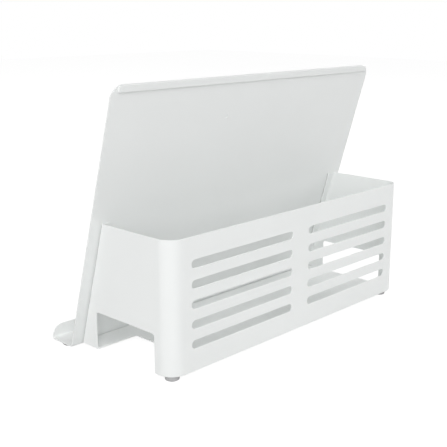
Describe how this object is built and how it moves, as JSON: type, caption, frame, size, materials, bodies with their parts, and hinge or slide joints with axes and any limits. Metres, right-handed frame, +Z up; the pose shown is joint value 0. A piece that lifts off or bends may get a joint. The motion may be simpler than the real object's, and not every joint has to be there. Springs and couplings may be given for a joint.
{
  "type": "cable management box",
  "caption": "White folded-steel cable management box with a slotted rear panel, cable cut-outs in both ends and a leaning device stand with a lipped tray in front.",
  "frame": {"origin": "on the desk under the middle of the object's bounding box", "axes": "+X along the length towards the end with the floor notch, +Y towards the slotted rear panel, +Z up; the device tray faces -Y"},
  "size_m": [0.35, 0.15, 0.2405],
  "materials": {
    "white_coat": "white fine-satin powder coat",
    "foot_rubber": "grey matt rubber",
    "adhesive": "thin pale adhesive film"
  },
  "bodies": {
    "root": {"device_stand": "white_coat", "box_shell": "white_coat", "floor_panel": "white_coat", "foot_rear_far": "foot_rubber", "pad_rear_far": "adhesive", "foot_rear_near": "foot_rubber", "pad_rear_near": "adhesive", "foot_front_far": "foot_rubber", "pad_front_far": "adhesive", "foot_front_near": "foot_rubber", "pad_front_near": "adhesive"}
  },
  "joints": []
}
